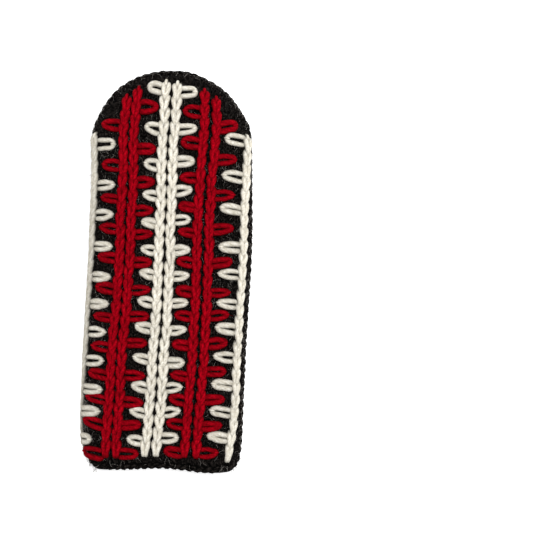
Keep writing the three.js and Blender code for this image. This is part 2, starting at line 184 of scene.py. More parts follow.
# columns: along, width, height, lift, drift, slant, all as shares of the sizes above
HAND_SECTIONS = np.array([
    [0.0, 0.863, 0.92, 0.0, -0.017, 0.04],
    [0.012, 0.91, 0.94, 0.0, -0.019, 0.042],
    [0.035, 0.952, 0.955, 0.0, -0.02, 0.044],
    [0.07, 0.98, 0.96, 0.0, -0.02, 0.044],
    [0.12, 0.99, 0.965, 0.0, -0.017, 0.042],
    [0.2, 0.99, 0.975, 0.0, -0.008, 0.038],
    [0.3, 0.99, 0.99, 0.0, 0.002, 0.03],
    [0.42, 0.995, 1.0, 0.0, 0.019, 0.018],
    [0.55, 1.0, 1.0, 0.0, 0.036, 0.007],
    [0.68, 1.0, 0.985, 0.0, 0.039, 0.0],
    [0.78, 1.0, 0.95, 0.0, 0.037, 0.0],
    [0.83, 0.995, 0.92, 0.0, 0.036, 0.0],
    [0.86, 0.972, 0.885, 0.0, 0.035, 0.0],
    [0.89, 0.9, 0.83, 0.005, 0.032, 0.0],
    [0.92, 0.805, 0.755, 0.02, 0.028, 0.0],
    [0.945, 0.7, 0.67, 0.05, 0.025, 0.0],
    [0.965, 0.575, 0.57, 0.085, 0.022, 0.0],
    [0.982, 0.42, 0.46, 0.125, 0.023, 0.0],
    [0.994, 0.26, 0.34, 0.17, 0.03, 0.0],
    [1.0, 0.1, 0.2, 0.22, 0.035, 0.0],
])
# columns: along, width, height
THUMB_SECTIONS = np.array([
    [0.0, 1.08, 0.94], [0.2, 1.06, 1.0], [0.45, 1.0, 1.0], [0.68, 0.94, 0.97],
    [0.84, 0.8, 0.9], [0.93, 0.58, 0.76], [0.98, 0.33, 0.54], [1.0, 0.1, 0.25],
])
print("hand:", WIDTH, "x", LENGTH, "x", HEIGHT, "mm")

# %% Smooth values between the rows of a table


def value_at(places, values, place):
    """A smooth value at each place, through every row of the table."""
    last = len(places) - 1
    slopes = np.array([(values[min(k + 1, last)] - values[max(k - 1, 0)])
                       / (places[min(k + 1, last)] - places[max(k - 1, 0)]) for k in range(last + 1)])
    i = np.clip(np.searchsorted(places, place) - 1, 0, last - 1)
    step = places[i + 1] - places[i]
    u = (place - places[i]) / step
    rise = values[i + 1] - values[i]
    start = slopes[i] * step - rise
    end = rise - slopes[i + 1] * step
    inside = values[i] + rise * u + u * (1 - u) * (start * (1 - u) + end * u)
    below = values[0] + slopes[0] * (place - places[0])
    above = values[last] + slopes[last] * (place - places[last])
    return np.where(place < places[0], below, np.where(place > places[last], above, inside))


def flattened_ring(half, height, angle, inset):
    """Sideways place, height and how near the palm, on a round section that has sunk flat."""
    side = SIDE_LEVEL * height
    across = np.cos(angle)
    upper = (angle >= 0) & (angle <= math.pi)
    power = np.where(upper, TOP_FULLNESS, PALM_FULLNESS)
    bow = np.maximum(0, 1 - np.abs(across) ** power) ** (1 / power)
    floor = max(inset, 0)
    over = side + (height - side - inset) * bow
    under = np.maximum(side - (side - inset) * PALM_PRESS * bow, floor)
    z = np.where(upper, over, under)
    return (half - inset) * across, z, (height - inset - z) / (height - inset - floor)


def thumb_place(across, along):
    """A place in the thumb's own frame, put under the palm."""
    c, s = math.cos(THUMB_TURN), math.sin(THUMB_TURN)
    return THUMB_ROOT[0] + across * c - along * s, THUMB_ROOT[1] + across * s + along * c


def palm_lift(x, y):
    """How far the thumb holds the palm up."""
    start = np.array(thumb_place(0, THUMB_RIDGE + PALM_DRAPE))
    end = np.array(thumb_place(0, THUMB_RIDGE_END))
    run = end - start
    near = np.clip(((x - start[0]) * run[0] + (y - start[1]) * run[1]) / (run @ run), 0, 1)
    distance = np.hypot(x - start[0] - near * run[0], y - start[1] - near * run[1])
    share = np.clip((distance - THUMB_RIDGE) / PALM_DRAPE, 0, 1)
    return (THUMB_HEIGHT + 3 * CLEARANCE) * (1 - share * share * (3 - 2 * share))


def hand_point(along, angle, inset=0.0):
    """Points of the hand's outer surface, at shares of its length and angles round it."""
    columns = [value_at(HAND_SECTIONS[:, 0], HAND_SECTIONS[:, k], along) for k in range(1, 6)]
    width, height, lift, drift, slant = columns
    ring_x, ring_z, share = flattened_ring(width * WIDTH / 2, (height - lift) * HEIGHT, angle, inset)
    x = drift * WIDTH + ring_x
    y = (along - 0.5) * LENGTH - slant * ring_x
    return np.stack([x, y, ring_z + lift * HEIGHT + palm_lift(x, y) * share], axis=-1)


print("tip of the back at:", np.round(hand_point(np.array([1.0]), np.array([math.pi / 2])), 1))

# %% Places on the cloth, by distance along and across it
ALONG_STEPS = 517
REACH_MM = 130
RING_STEPS = 360
ALONG_ROWS = np.linspace(0, 1, ALONG_STEPS + 1)
ACROSS_MM = np.arange(-REACH_MM, REACH_MM + 1)


def ways_round(first, turn):
    """The angle round the section at each distance from a starting line, for every row of the table."""
    angles = first + turn * np.linspace(0, math.pi, RING_STEPS + 1)
    points = hand_point(*np.meshgrid(ALONG_ROWS, angles, indexing="ij"))
    steps = np.linalg.norm(np.diff(points, axis=1), axis=2)
    arcs = np.pad(np.cumsum(steps, axis=1), ((0, 0), (1, 0)))
    return arcs, angles


def cloth_table(first, turn_right):
    """Angles for the distances across the cloth, starting at the middle of one face."""
    right, right_angles = ways_round(first, turn_right)
    left, left_angles = ways_round(first, -turn_right)
    table = np.zeros((len(ALONG_ROWS), len(ACROSS_MM)))
    for row in range(len(ALONG_ROWS)):
        table[row, REACH_MM:] = np.interp(ACROSS_MM[REACH_MM:], right[row], right_angles)
        table[row, :REACH_MM + 1] = np.interp(-ACROSS_MM[:REACH_MM + 1], left[row], left_angles)
    return table


BACK_TABLE = cloth_table(math.pi / 2, -1)
PALM_TABLE = cloth_table(3 * math.pi / 2, 1)


def on_cloth(table, along, across):
    """Points of the cloth at shares of the length and millimetres across."""
    row = np.clip(along, 0, 1) * ALONG_STEPS
    column = np.clip(across, -REACH_MM, REACH_MM) + REACH_MM
    i = np.minimum(row.astype(int), ALONG_STEPS - 1)
    j = np.minimum(column.astype(int), 2 * REACH_MM - 1)
    u = row - i
    v = column - j
    angle = ((table[i, j] * (1 - v) + table[i, j + 1] * v) * (1 - u)
             + (table[i + 1, j] * (1 - v) + table[i + 1, j + 1] * v) * u)
    angle = np.where(angle > math.pi * 1.5, angle - 2 * math.pi, angle)
    return hand_point(along, angle)


def unit(vectors):
    """The same directions, each with a length of 1."""
    return vectors / np.maximum(np.linalg.norm(vectors, axis=-1, keepdims=True), 1e-9)


def cloth_frame(table, along, across):
    """Points with the directions across the cloth, along it and out of it."""
    reach = 1.5
    stride = reach / LENGTH
    side = unit(on_cloth(table, along, across + reach) - on_cloth(table, along, across - reach))
    up = unit(on_cloth(table, along + stride, across) - on_cloth(table, along - stride, across))
    out = unit(np.cross(side, up))
    if table is PALM_TABLE:
        out = -out
    return on_cloth(table, along, across), side, up, out


print("cloth tables:", BACK_TABLE.shape, PALM_TABLE.shape)

# %% [markdown]
# ## Making meshes
# Yarn is a strand of even thickness that bends through the cloth. A curve object with a round bevel
# could show it, but its hairs would not follow the twist, so strands are built as closed tubes with three
# soft plies that turn round the strand, and each strand keeps its own UV map.

# %% A cuff that hangs unevenly
CUFF_FADE = 14  # millimetres from the edge in which its wave dies out
# columns: place across, how far the edge is drawn up there, in millimetres
CUFF_DRAWN = np.array([
    [-52, -1.8], [-40, -1.5], [-26, 0.0], [-3, 2.1], [12, 1.2], [21, 0.0], [32, -0.6], [45, 0.4],
])


def draw_cuff(points):
    """Draws points near the cuff up or down with its edge, less and less away from it."""
    share = np.clip((points[:, 1] + LENGTH / 2) / CUFF_FADE, 0, 1)
    place = np.clip(points[:, 0], CUFF_DRAWN[0, 0], CUFF_DRAWN[-1, 0])
    drawn = value_at(CUFF_DRAWN[:, 0], CUFF_DRAWN[:, 1], place)
    return points + np.outer(drawn * (1 - share * share * (3 - 2 * share)), [0, 1, 0])


print("the cuff's edge moves by", CUFF_DRAWN[:, 1].min(), "to", CUFF_DRAWN[:, 1].max(), "mm")

# %% One object from points and faces
TABLE_GAP = 0.1


def make_piece(name, points, faces, uvs, painted_light_levels, material):
    """A finished object in metres, with the strand's UV map and, in the rise attribute, the painted light
    of each point, from how high it lies above the cloth and how it faces.
    """
    mesh = bpy.data.meshes.new(name)
    mesh.from_pydata(((draw_cuff(points) + CENTRING) * MM).tolist(), [], faces)
    layer = mesh.uv_layers.new(name="strand")
    layer.data.foreach_set("uv", np.asarray(uvs, dtype=np.float32).ravel())
    # the rise attribute carries painted light, which the wool finishes turn into painted shade
    rise = mesh.attributes.new("rise", "FLOAT", "POINT")
    rise.data.foreach_set("value", np.asarray(painted_light_levels, dtype=np.float32))
    mesh.polygons.foreach_set("use_smooth", np.ones(len(mesh.polygons), dtype=bool))
    mesh.materials.append(material)
    mesh.update()
    piece = bpy.data.objects.new(name, mesh)
    bpy.context.scene.collection.objects.link(piece)
    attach(piece, "root")
    mesh.calc_loop_triangles()
    print(name, "triangles:", len(mesh.loop_triangles))
    return piece


def above_table(points):
    """Lifts what would sink into the table to just above it."""
    points[:, 2] = np.maximum(points[:, 2], TABLE_GAP)
    return points


def way_along(points):
    """The distance run so far at each point of a line."""
    return np.concatenate([[0], np.cumsum(np.linalg.norm(np.diff(points, axis=0), axis=1))])


def smooth_way(knots, step):
    """A smooth way through the knots, cut into even steps."""
    knots = np.asarray(knots, dtype=float)
    padded = np.vstack([2 * knots[0] - knots[1], knots, 2 * knots[-1] - knots[-2]])
    places = []
    for i in range(1, len(padded) - 2):
        a, b, c, d = padded[i - 1:i + 3]
        t = np.linspace(0, 1, 12, endpoint=False)[:, None]
        places.append(0.5 * (2 * b + (c - a) * t + (2 * a - 5 * b + 4 * c - d) * t ** 2
                             + (3 * b - a - 3 * c + d) * t ** 3))
    way = np.vstack(places + [knots[-1:]])
    run = way_along(way[:, :3])
    count = max(4, int(round(run[-1] / step)) + 1)
    marks = np.linspace(0, run[-1], count)
    return np.stack([np.interp(marks, run, way[:, k]) for k in range(way.shape[1])], axis=1)


print("a test way has", len(smooth_way([[0, 0, 0], [5, 0, 0], [5, 5, 0]], 0.8)), "points")

# %% A skein gathers the strands of one piece
# painted light: the share given to a strand's sides when no cloth direction is known
LIGHT_SHARE = 0.6  # how open a strand counts that has no cloth beside it
SLANTING = np.array([0.31, 0.52, 0.79])  # no strand starts out in this direction
STRAND_SHIFT = 0.37  # millimetres that the UV map moves on with each point, so that strands differ
STRAND_SHIFTS_END = 50
rng = np.random.default_rng(7)


class Skein:
    """Strands of yarn, each a closed tube, gathered into one mesh."""

    def __init__(self, sides=10, plies=3, turn_mm=15, ply_depth=0.06):
        self.sides = sides
        self.plies = plies
        self.turn_mm = turn_mm
        self.ply_depth = ply_depth
        self.points = []
        self.faces = []
        self.uvs = []
        self.painted_light_levels = []
        self.ways = []
        self.count = 0

    def lay(self, way, radius, height=0.6, out=None):
        """Lays a strand along a way; radius and height, a share, are one number or one for each point, and
        the height and how far each side faces out of the cloth set its painted light.
        """
        way = np.asarray(way)
        self.ways.append(way)
        rows = len(way)
        radius = np.broadcast_to(radius, rows)
        tangent = unit(np.gradient(way, axis=0))
        run = way_along(way)
        across = np.zeros((rows, 3))
        across[0] = unit(np.cross(tangent[0], SLANTING))
        for k in range(1, rows):
            across[k] = unit(across[k - 1] - tangent[k] * (across[k - 1] @ tangent[k]))
        lifted = np.cross(tangent, across)
        turn = 2 * math.pi * run / self.turn_mm
        angle = np.arange(self.sides) * 2 * math.pi / self.sides
        ply = 1 - self.ply_depth * (1 - np.cos(self.plies * angle)) / 2
        total = angle[None, :] + turn[:, None]
        swing = (np.cos(total)[..., None] * across[:, None] + np.sin(total)[..., None] * lifted[:, None])
        ring = way[:, None] + swing * (radius[:, None] * ply[None, :])[..., None]
        facing = np.full((rows, self.sides), LIGHT_SHARE)
        if out is not None:
            facing = np.einsum("kij,kj->ki", swing, out)
        # painted light: a point is lighter the higher its strand lies and the more it faces out of the
        # cloth
        rise = 0.5 * np.broadcast_to(height, rows)[:, None] + 0.5 * facing
        self.painted_light_levels += [rise.ravel(), rise[0].mean(keepdims=True), rise[-1].mean(keepdims=True)]
        low = self.count
        self.points.append(ring.reshape(-1, 3))
        self.points.append(way[:1] - tangent[:1] * radius[0] * 0.5)
        self.points.append(way[-1:] + tangent[-1:] * radius[-1] * 0.5)
        self.close(low, rows, run + (low * STRAND_SHIFT) % STRAND_SHIFTS_END)

    def close(self, low, rows, marks):
        """Faces of a strand's side and its two ends; marks are its millimetres in the UV map."""
        sides = self.sides
        first_end = low + rows * sides
        last_ring = low + (rows - 1) * sides
        for j in range(sides):
            k = (j + 1) % sides
            v, w = j / sides, (j + 1) / sides
            for i in range(rows - 1):
                a = low + i * sides
                self.faces.append((a + j, a + k, a + sides + k, a + sides + j))
                self.uvs += [(marks[i], v), (marks[i], w), (marks[i + 1], w), (marks[i + 1], v)]
            self.faces.append((first_end, low + k, low + j))
            self.uvs += [(marks[0], 0.5), (marks[0], w), (marks[0], v)]
            self.faces.append((first_end + 1, last_ring + j, last_ring + k))
            self.uvs += [(marks[-1], 0.5), (marks[-1], v), (marks[-1], w)]
        self.count = first_end + 2

    def fuzz(self, count, thick, longest):
        """Single hairs that stand off the strands laid so far, in the same yarn."""
        laid = np.vstack(self.ways)
        sides = self.sides
        self.sides = 3
        for n in rng.integers(0, len(laid), count):
            heading = unit(rng.normal(0, 1, 3) + np.array([0, 0, 0.5]))
            bend = rng.normal(0, 0.4, 3)
            t = np.linspace(0, 1, 5)[:, None]
            reach = thick * 0.8 + t * rng.uniform(0.5, 1) * longest
            # the height share of 1.0 keeps painted shade off these hairs
            self.lay(laid[n] + heading * reach + bend * t * t, rng.uniform(0.03, 0.05), 1.0)
        self.sides = sides

    def piece(self, name, material, node_slot):
        """Makes one object of the strands, all of them above the table."""
        return make_piece(name, above_table(np.vstack(self.points)), self.faces, self.uvs,
                          np.concatenate(self.painted_light_levels), material)


sample = Skein()
sample.lay([[0, 0, 0], [0, 3, 0], [0, 6, 1]], 1.3)
print("a short strand has", len(sample.faces), "faces")

# %% [markdown]
# ## The cloth under the stitches
# Behind the visible stitches lies the rest of the knitting: the backs of the stitches and the inside of
# the tube. A slightly thinner copy of the solid stands for it, so the hollow, the thumb hole and the cuff
# keep their true shape. It could be knitted too, but nothing of it shows except the inside of the cuff.

# %% A purled finish for the inside
STITCH_WIDTH = 3.5
STITCH_RISE = 2.7
BAND_REPEAT = 0.3125  # a band texture at scale 1 repeats about this often


def purled_wool(name):
    """The inner face of knitting: rows of small bumps, as high as a stitch."""
    material = bpy.data.materials.new(name)
    material.use_nodes = True
    tree = material.node_tree
    tree.nodes.clear()
    place = add_node(tree, "ShaderNodeTexCoord")
    ribs = add_node(tree, "ShaderNodeTexWave", {"wave_type": "BANDS", "bands_direction": "Y"},
                    {"Scale": BAND_REPEAT / (STITCH_RISE * MM), "Distortion": 1.2, "Detail": 2,
                     "Detail Scale": 2.5}, {"Vector": place.outputs["Object"]})
    hairs = add_node(tree, "ShaderNodeTexNoise", inputs={"Scale": 1 / (0.8 * MM), "Detail": 4},
                     links={"Vector": place.outputs["Object"]})
    height = add_node(tree, "ShaderNodeMath", {"operation": "ADD"},
                      links={0: ribs.outputs["Fac"], 1: hairs.outputs["Fac"]})
    colours = add_node(tree, "ShaderNodeValToRGB", links={"Fac": hairs.outputs["Fac"]})
    colours.color_ramp.elements[0].position = 0.35
    colours.color_ramp.elements[0].color = linear("#010101")
    colours.color_ramp.elements[1].position = 0.75
    colours.color_ramp.elements[1].color = linear("#080706")
    bump = add_node(tree, "ShaderNodeBump", inputs={"Strength": 0.7, "Distance": 0.9 * MM},
                    links={"Height": height.outputs[0]})
    wool = add_node(tree, "ShaderNodeBsdfPrincipled",
                    inputs={"Roughness": 0.95, "Specular IOR Level": 0.03, "Sheen Weight": 0.01,
                            "Sheen Roughness": 0.5},
                    links={"Base Color": colours.outputs["Color"], "Normal": bump.outputs["Normal"]})
    add_node(tree, "ShaderNodeOutputMaterial", links={"Surface": wool.outputs["BSDF"]})
    return material


purl = purled_wool("black_knitting_inside")
print("inside of the knitting:", purl.name)

# %% Thin copies of the black solids


def cloth_under(node, name, drawn_in):
    """Copies a solid, joins its faces, draws its walls in on both sides and smooths them."""
    bpy.ops.object.select_all(action="DESELECT")
    cloth = bpy.data.objects.new(name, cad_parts[node].data.copy())
    bpy.context.scene.collection.objects.link(cloth)
    cloth.select_set(True)
    bpy.context.view_layer.objects.active = cloth
    bpy.ops.object.mode_set(mode="EDIT")
    bpy.ops.mesh.select_all(action="SELECT")
    bpy.ops.mesh.remove_doubles(threshold=1e-6)
    bpy.ops.transform.shrink_fatten(value=-drawn_in * MM)
    bpy.ops.object.mode_set(mode="OBJECT")
    corners = np.array([corner.co for corner in cloth.data.vertices])
    drawn = (draw_cuff(corners / MM - CENTRING) + CENTRING) * MM
    cloth.data.vertices.foreach_set("co", drawn.ravel())
    bpy.ops.object.shade_smooth_by_angle(angle=math.radians(50))
    cloth.data.materials.clear()
    cloth.data.materials.append(purl)
    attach(cloth, "root")
    print(name, "faces:", len(cloth.data.polygons))
    return cloth


hand_cloth = cloth_under("hand", "hand_cloth", 0.8)
thumb_cloth = cloth_under("thumb", "thumb_cloth", 0.7)
cuff_cloth = cloth_under("cuff_edge", "cuff_cloth", 0.6)

# %% [markdown]
# ## Knitted stitches
# Plain knitting shows a column of small Vs. Each leg of a V is a short piece of yarn that comes out
# from under the stitch below, leans outwards and dives under the stitch above, so it looks like a leaf.
# One leaf is modelled once, with only a few dozen faces, and copied over the cloth in straight columns,
# 3.5 mm wide, with 2.7 mm from row to row. The columns stay straight up to the tip, where the rope-like
# edge of decreases cuts them off.

# %% One stitch leg


def leaf(length, thick, high, lean, sides=6):
    """A leg of a stitch in its own frame: across, along and out, in millimetres."""
    places = np.array([-0.5, -0.36, 0.0, 0.34, 0.5])
    fullness = np.array([0, 0.8, 1.0, 0.78, 0])
    rise = np.array([-0.9, -0.25, 0.25, -0.05, -0.9]) * high
    angle = np.arange(sides) * 2 * math.pi / sides
    points = []
    for place, full, up in zip(places[1:4], fullness[1:4], rise[1:4]):
        points += [[math.cos(a) * thick / 2 * full, place * length, up + math.sin(a) * high / 2 * full]
                   for a in angle]
    points.append([0, places[0] * length, rise[0]])
    points.append([0, places[4] * length, rise[4]])
    points = np.array(points)
    # painted light: the top of a leg is lighter, its underside and its pointed ends are dark with painted
    # shade
    painted_light_levels = np.append(np.outer([0.8, 1, 0.8], 0.5 + 0.5 * np.sin(angle)), [0, 0])
    c, s = math.cos(lean), math.sin(lean)
    points[:, :2] = points[:, :2] @ np.array([[c, -s], [s, c]])
    faces = []
    uvs = []
    for i in range(2):
        for j in range(sides):
            k = (j + 1) % sides
            faces.append((i * sides + j, i * sides + k, (i + 1) * sides + k, (i + 1) * sides + j))
            uvs += [(i * 2.0, j / sides), (i * 2.0, (j + 1) / sides),
                    (i * 2.0 + 2, (j + 1) / sides), (i * 2.0 + 2, j / sides)]
    low, high_end = 3 * sides, 3 * sides + 1
    for j in range(sides):
        k = (j + 1) % sides
        faces.append((low, k, j))
        uvs += [(-1, 0.5), (0, (j + 1) / sides), (0, j / sides)]
        faces.append((high_end, 2 * sides + j, 2 * sides + k))
        uvs += [(5, 0.5), (4, j / sides), (4, (j + 1) / sides)]
    return points, faces, np.array(uvs, dtype=float), painted_light_levels


STITCH_LEG = leaf(length=4.9, thick=1.75, high=2.0, lean=math.radians(24))
print("one stitch leg has", len(STITCH_LEG[1]), "faces")

# %% The leg copied over a field of stitches
LEG_PLACE = 0.235  # how far a leg lies off its stitch's middle, as a share of the width
LEG_SHIFT = 3.7  # millimetres that the UV map moves on with each leg, so that legs differ
LEG_SHIFTS_END = 90


def repeat_leaf(shape, centre, side, up, out, size, flip):
    """Copies one leaf to many places; a flip of -1 mirrors them all across."""
    points, faces, uvs, painted_light_levels = shape
    if flip < 0:
        ends = np.cumsum([len(face) for face in faces])
        uvs = np.vstack([part[::-1] for part in np.split(uvs, ends[:-1])])
        faces = [face[::-1] for face in faces]
    local = points[None] * size[:, None, None] * [flip, 1, 1]
    placed = (centre[:, None] + local[..., :1] * side[:, None] + local[..., 1:2] * up[:, None]
              + local[..., 2:] * out[:, None])
    all_faces = []
    all_uvs = []
    for n in range(len(centre)):
        low = n * len(points)
        all_faces += [tuple(low + v for v in face) for face in faces]
        all_uvs.append(uvs + [n * LEG_SHIFT % LEG_SHIFTS_END, 0])
    return placed.reshape(-1, 3), all_faces, np.vstack(all_uvs), np.tile(painted_light_levels, len(centre))


def stitches(name, centre, side, up, out):
    """A field of V stitches as one piece."""
    count = len(centre)
    jitter = rng.normal(0, 0.1, (2, count, 3))
    size = 1 + rng.normal(0, 0.05, (2, count))
    right, left = [
        repeat_leaf(STITCH_LEG, centre + side * (flip * STITCH_WIDTH * LEG_PLACE) + jitter[k],
                    side, up, out, size[k], flip)
        for k, flip in enumerate((1, -1))
    ]
    points = above_table(np.vstack([right[0], left[0]]))
    faces = right[1] + [tuple(len(right[0]) + v for v in face) for face in left[1]]
    make_piece(name, points, faces, np.vstack([right[2], left[2]]), np.concatenate([right[3], left[3]]),
               black_wool)


print("a field's legs lie", round(STITCH_WIDTH * LEG_PLACE, 2), "mm off the middle of their stitch")

# %% The back and the palm of the hand
STITCH_DEPTH = 0.75
COLUMNS_EACH_WAY = 34
EDGE_MARGIN = 0.6


def side_reach(table, along, hand):
    """Distance across the cloth from the middle of a face to the side line."""
    row = table[int(round(float(np.clip(along, 0, 1)) * ALONG_STEPS))]
    target = 0.0 if hand > 0 else math.pi
    if table is PALM_TABLE and hand > 0:
        target = 2 * math.pi
    half = row[REACH_MM:] if hand > 0 else row[:REACH_MM + 1][::-1]
    order = np.argsort(half)
    return float(np.interp(target, half[order], np.arange(REACH_MM + 1)[order]))


def knitted_face(table, first, last):
    """Places of the stitches of one face, in straight columns up to the edge."""
    places = []
    for along in np.arange(first, last, STITCH_RISE / LENGTH):
        reach_left = side_reach(table, along, -1) - EDGE_MARGIN
        reach_right = side_reach(table, along, 1) - EDGE_MARGIN
        columns = np.arange(-COLUMNS_EACH_WAY, COLUMNS_EACH_WAY + 1) * STITCH_WIDTH
        places += [(along, across) for across in columns if -reach_left < across < reach_right]
    return cloth_frame(table, *np.array(places).T)


def two_pieces(name, centre, side, up, out):
    """Knits a field as two pieces, from cuff to tip, to keep each one light."""
    centre = centre - out * STITCH_DEPTH
    for k, part in enumerate(np.array_split(np.argsort(centre[:, 1]), 2)):
        stitches(name + "_" + str(k + 1), centre[part], side[part], up[part], out[part])


two_pieces("back_stitches", *knitted_face(BACK_TABLE, 0.031, 0.992))
palm = knitted_face(PALM_TABLE, 0.031, 0.99)
off_thumb = palm_lift(palm[0][:, 0], palm[0][:, 1]) < THUMB_HEIGHT * 0.995
two_pieces("palm_stitches", *[column[off_thumb] for column in palm])

# %% [markdown]
# ## The thumb
# The thumb is a narrow tube of the same knitting, pressed flat between the palm and the table. It is
# seen only from the side and from below. Its stitches run towards its own tip, so they are laid by the
# angle round it and not by distances across, and where the tip narrows every second one is left out.

# %% Stitches round the thumb
THUMB_WIDEST = 0.4
THUMB_FULL_WIDTH = 0.72


def thumb_point(along, angle):
    """Points of the thumb's outer surface, at shares of its length and angles round it."""
    width, height = [value_at(THUMB_SECTIONS[:, 0], THUMB_SECTIONS[:, k], along) for k in (1, 2)]
    across, z, _ = flattened_ring(width * THUMB_WIDTH / 2, height * THUMB_HEIGHT, angle, 0.0)
    x, y = thumb_place(across, along * THUMB_LENGTH)
    return np.stack([x, y, z], axis=-1)


def thumb_field():
    """Columns of stitches round the thumb, spaced by the distance round its widest part."""
    angles = np.linspace(-math.pi, math.pi, 2 * RING_STEPS + 1)
    run = way_along(thumb_point(np.full(len(angles), THUMB_WIDEST), angles))
    columns = int(run[-1] / STITCH_WIDTH)
    angle = np.interp((np.arange(columns) + 0.5) * run[-1] / columns, run, angles)
    along = np.arange(0.03, 0.985, STITCH_RISE / THUMB_LENGTH)
    along, angle = [grid.ravel() for grid in np.meshgrid(along, angle, indexing="ij")]
    width = value_at(THUMB_SECTIONS[:, 0], THUMB_SECTIONS[:, 1], along)
    kept = (width > THUMB_FULL_WIDTH) | (np.arange(len(along)) % 2 == 0)
    along, angle = along[kept], angle[kept]
    step, stride = 0.03, 0.015
    side = unit(thumb_point(along, angle + step) - thumb_point(along, angle - step))
    up = unit(thumb_point(along + stride, angle) - thumb_point(along - stride, angle))
    out = unit(np.cross(up, side))
    return thumb_point(along, angle) - out * STITCH_DEPTH, -side, up, out


stitches("thumb_stitches", *thumb_field())

# %% [markdown]
# ## Worked edges
# A mitten's sides and its tip are shaped by decreases that lie over each other like the turns of a rope,
# and the cuff begins with a braid. Both show as slanting ridges that follow the edge. A row of separate
# stitches would stand out from the edge like teeth, so the yarn is laid as it looks: strands twisted round
# a line.

# %% Ropes along a line
ROPE_STEP = 0.95
SWAY_EVERY = 20  # millimetres between two chance changes of a rope's course


def even_steps(line, step):
    """Cuts a line into even steps."""
    run = way_along(line)
    marks = np.linspace(0, run[-1], int(run[-1] / step) + 1)
    return np.stack([np.interp(marks, run, line[:, k]) for k in range(line.shape[1])], axis=1)


def lay_rope(skein, line, out, reach, radius, turn_mm, strands=2):
    """Twists strands round a line; a negative turn twists them the other way."""
    both = even_steps(np.hstack([line, out]), ROPE_STEP)
    line, out = both[:, :3], both[:, 3:]
    run = way_along(line)
    way = unit(np.gradient(line, axis=0))
    side = unit(np.cross(way, out))
    away = unit(np.cross(side, way))
    marks = np.arange(0, run[-1] + 2 * SWAY_EVERY, SWAY_EVERY)
    sway = np.interp(run, marks, rng.normal(0, 0.25, len(marks)))
    for n in range(strands):
        phase = 2 * math.pi * (n / strands + run / turn_mm) + sway * 2
        strand = line + reach * (np.cos(phase)[:, None] * side + np.sin(phase)[:, None] * away)
        # painted shade: each strand is darker where its twist takes it under the rope
        skein.lay(strand + away * sway[:, None] * 0.5, radius, 0.5 + 0.5 * np.sin(phase), away)


print("a line of 10 mm has", len(even_steps(np.array([[0, 0, 0], [10, 0, 0]]), ROPE_STEP)), "points")

# %% Lines along the outline and over the tip
EDGE_START = 0.03
UPWARD = np.array([0, 0, 1.0])
SMOOTHING = 13


def outline_line(first, tilt, inset):
    """A line round the outline from a share of the length, above or below it by a tilt in radians."""
    along = np.concatenate([np.linspace(first, 0.9, 240), np.linspace(0.9, 0.999, 120)[1:]])
    right = hand_point(along, np.full(len(along), tilt))
    left = hand_point(along, np.full(len(along), math.pi - tilt))
    line = even_steps(np.vstack([right, left[::-1]]), 1.0)
    way = unit(np.gradient(line, axis=0))
    level = unit(np.cross(way, UPWARD))
    out = unit(level * math.cos(tilt) + UPWARD * math.sin(tilt))
    return line - out * inset, out


def dome_line(first, inward):
    """A line over the rounded tip, a distance in from the outline as seen from above, on the back."""
    line, level = outline_line(first, 0.0, 0.0)
    plan = (line - level * inward)[:, :2]
    along, angle = np.meshgrid(np.linspace(0.6, 1, 200), np.linspace(0, math.pi, 200), indexing="ij")
    back_points = hand_point(along.ravel(), angle.ravel())
    nearest = [np.argmin(((back_points[:, :2] - place) ** 2).sum(axis=1)) for place in plan]
    high = np.pad(back_points[nearest, 2], SMOOTHING // 2, mode="edge")
    high = np.convolve(high, np.full(SMOOTHING, 1 / SMOOTHING), mode="valid")
    return np.column_stack([plan, high]), unit(level * 0.35 + UPWARD)


print("the outline is", round(way_along(outline_line(EDGE_START, 0.0, 0.0)[0])[-1]), "mm long")

# %% The edge rope
rope = Skein(sides=10, plies=2, turn_mm=9, ply_depth=0.1)
line, out = outline_line(EDGE_START, 0.0, 2.3)
lay_rope(rope, line, unit(out + UPWARD), reach=1.8, radius=1.85, turn_mm=16.0, strands=3)
line, out = outline_line(EDGE_START, -0.55, 1.9)
lay_rope(rope, line, out, reach=1.0, radius=1.3, turn_mm=-8.5)
for first, inward, turn_mm in ((0.8, 5.8, -15.0), (0.84, 9.6, 15.0)):
    line, out = dome_line(first, inward)
    lay_rope(rope, line - out, out, reach=1.45, radius=1.6, turn_mm=turn_mm, strands=3)
rope.piece("edge_rope", black_wool, "black_wool")

# %% The cuff's braid


def cuff_wave(angle):
    """How many millimetres the cuff's edge is drawn up: it waves a little and its corners are round."""
    return 0.45 * np.sin(2.3 * angle + 0.8) + 0.45 + 2.6 * np.abs(np.cos(angle)) ** 9


def cuff_line(height_mm, inset):
    """A line round the cuff, at a height above its edge."""
    angle = np.linspace(math.pi, -math.pi, RING_STEPS + 1)
    along = (height_mm + cuff_wave(angle)) / LENGTH
    line = hand_point(along, angle, inset)
    above = hand_point(along + 0.004, angle, inset)
    way = unit(np.gradient(line, axis=0))
    return line, unit(np.cross(way, unit(above - line)))


braid = Skein(sides=10, plies=2, turn_mm=9, ply_depth=0.1)
for height_mm, inset, turn_mm in ((2.3, 1.9, 9.6), (6.2, 1.4, -9.6)):
    line, out = cuff_line(height_mm, inset)
    lay_rope(braid, line, out, reach=1.35, radius=1.6, turn_mm=turn_mm)
braid.piece("cuff_braid", black_wool, "black_wool")

# %% [markdown]
# ## The embroidery
# Chain stitch is a row of loops, each one caught by the next: the yarn comes up inside the last loop, lies
# in a leaf shape on the cloth and is held down where the next link starts. The links start at the cuff and
# their Vs point down to it. From each row, single detached links reach out sideways, each tied down at its
# tip by one short stitch. A chain could be an array of one copied link, but every hand-made link differs,
# so each is laid along its own way with a little wander.

